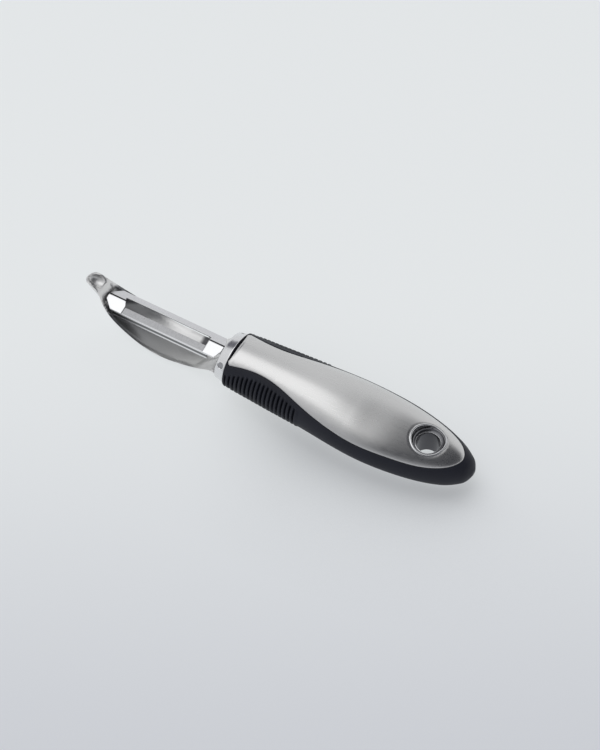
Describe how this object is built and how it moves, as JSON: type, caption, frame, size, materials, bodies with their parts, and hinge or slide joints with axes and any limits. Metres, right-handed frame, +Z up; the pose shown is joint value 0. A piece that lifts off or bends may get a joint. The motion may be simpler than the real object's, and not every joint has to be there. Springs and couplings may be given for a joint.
{
  "type": "vegetable peeler",
  "caption": "Swivel vegetable peeler: slotted double-edged blade over a steel bow with a scoop tip, and a plump handle of steel plates in finned rubber.",
  "frame": {"origin": "middle of the tool's length and width, on the table that it lies on", "axes": "+X from the scoop tip to the handle's tail, +Y across the tool, +Z up from the table through the hanging hole"},
  "size_m": [0.1996, 0.0374, 0.0245],
  "materials": {
    "cast_steel": "satin, tumbled",
    "blade_steel": "cross-ground",
    "pin_steel": "turned",
    "polished_steel": "polished",
    "plate_steel": "satin brushed",
    "core_plastic": "moulded",
    "grip_rubber": "matt"
  },
  "bodies": {
    "handle": {"head_frame": "cast_steel", "collar": "polished_steel", "collar_pins": "pin_steel", "handle_core": "core_plastic", "grip": "grip_rubber", "top_plate": "plate_steel", "bottom_plate": "plate_steel", "plate_studs": "pin_steel", "tang_pin": "pin_steel", "eyelet": "polished_steel", "eyelet_washer": "polished_steel"},
    "blade": {"blade": "blade_steel", "front_pivot_pin": "pin_steel", "rear_pivot_pin": "pin_steel"}
  },
  "joints": [
    {"name": "blade_swivel", "type": "hinge", "parent": "handle", "child": "blade", "pos_m": [-0.0578, 0, 0.0126], "axis": [1, 0, 0], "range_deg": [-20, 20]}
  ]
}
